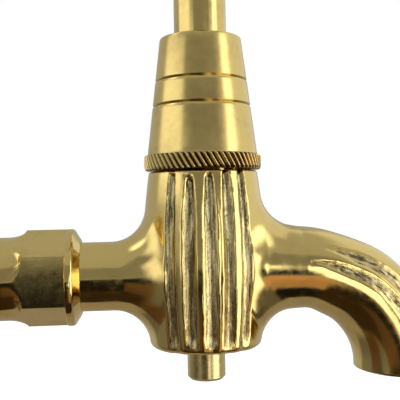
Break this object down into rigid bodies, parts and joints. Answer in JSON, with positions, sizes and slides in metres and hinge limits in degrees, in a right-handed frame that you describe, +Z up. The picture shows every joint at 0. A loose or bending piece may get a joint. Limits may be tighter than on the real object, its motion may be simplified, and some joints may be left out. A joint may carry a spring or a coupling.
{
  "type": "beer tap",
  "caption": "Brass plug-cock beer tap with fluted barrel, curved spout, knurled bonnet, turned T-handle, coupling nut and threaded wall shank with flange.",
  "frame": {"origin": "centre of the face of the flange gasket that seats on the tower or wall", "axes": "+X out of the wall towards the spout, +Z up along the plug axis, Z = 0 on the shank centre line"},
  "size_m": [0.2553, 0.11, 0.1775],
  "materials": {
    "cast_brass": "sand-cast brass, polished lands, rough cast flutes",
    "polished_brass": "turned and polished, fine tool marks",
    "turned_brass": "satin turned",
    "steel": "stainless, drawn",
    "rubber": "matt black nitrile",
    "fibre": "red vulcanised fibre",
    "wood": "dark oiled hardwood"
  },
  "bodies": {
    "tap": {"tap_body": "cast_brass", "stop_pin": "steel", "tail_seal": "rubber", "nut_snap_ring": "steel", "coupling_washer": "fibre", "shank": "turned_brass", "wall_flange": "polished_brass", "flange_gasket": "rubber", "plug_spring": "steel"},
    "plug_and_handle": {"plug": "turned_brass", "spring_washer": "steel", "rod_pin": "steel", "handle_rod": "turned_brass", "handle_hub": "polished_brass", "hub_finial": "polished_brass", "cross_bar": "steel", "handle_grips": "wood", "grip_end_caps": "polished_brass"},
    "bonnet_slip": {"bonnet_thrust_washer": "turned_brass"},
    "bonnet": {"bonnet_cap": "polished_brass", "stem_wiper": "rubber"},
    "nut_slip": {"nut_slip_washer": "turned_brass"},
    "coupling": {"coupling_nut": "polished_brass"},
    "back_slip": {"back_washer": "steel"},
    "wall_nut": {"back_nut": "polished_brass"},
    "tail_slip": {"tailpiece": "turned_brass", "tailpiece_washer": "fibre"},
    "tail_nut": {"tailpiece_nut": "polished_brass"}
  },
  "joints": [
    {"name": "handle_turn", "type": "hinge", "parent": "tap", "child": "plug_and_handle", "pos_m": [0.092, 0, 0], "axis": [0, 0, 1], "range_deg": [0, 90]},
    {"name": "bonnet_lift", "type": "slide", "parent": "tap", "child": "bonnet_slip", "axis": [0, 0, 1], "range_m": [0, 0.0075], "deforming": ["plug_spring"]},
    {"name": "bonnet_turn", "type": "hinge", "parent": "bonnet_slip", "child": "bonnet", "pos_m": [0.092, 0, 0], "axis": [0, 0, 1], "range_deg": [0, 1800]},
    {"name": "nut_back_off", "type": "slide", "parent": "tap", "child": "nut_slip", "axis": [1, 0, 0], "range_m": [0, 0.007]},
    {"name": "nut_turn", "type": "hinge", "parent": "nut_slip", "child": "coupling", "pos_m": [0.04, 0, 0], "axis": [1, 0, 0], "range_deg": [0, 1389.2]},
    {"name": "back_nut_shift", "type": "slide", "parent": "tap", "child": "back_slip", "axis": [1, 0, 0], "range_m": [-0.011, 0.014]},
    {"name": "back_nut_turn", "type": "hinge", "parent": "back_slip", "child": "wall_nut", "pos_m": [-0.02, 0, 0], "axis": [1, 0, 0], "range_deg": [-2184, 2779]},
    {"name": "tail_back_off", "type": "slide", "parent": "tap", "child": "tail_slip", "axis": [-1, 0, 0], "range_m": [0, 0.0095]},
    {"name": "tail_nut_turn", "type": "hinge", "parent": "tail_slip", "child": "tail_nut", "pos_m": [-0.045, 0, 0], "axis": [-1, 0, 0], "range_deg": [0, 1885.4]}
  ],
  "couplings": [
    {"joint": "bonnet_turn", "follows": "bonnet_lift", "rad_per_m": 4188.8},
    {"joint": "nut_turn", "follows": "nut_back_off", "rad_per_m": 3463.7},
    {"joint": "back_nut_turn", "follows": "back_nut_shift", "rad_per_m": 3463.7},
    {"joint": "tail_nut_turn", "follows": "tail_back_off", "rad_per_m": 3463.7}
  ]
}
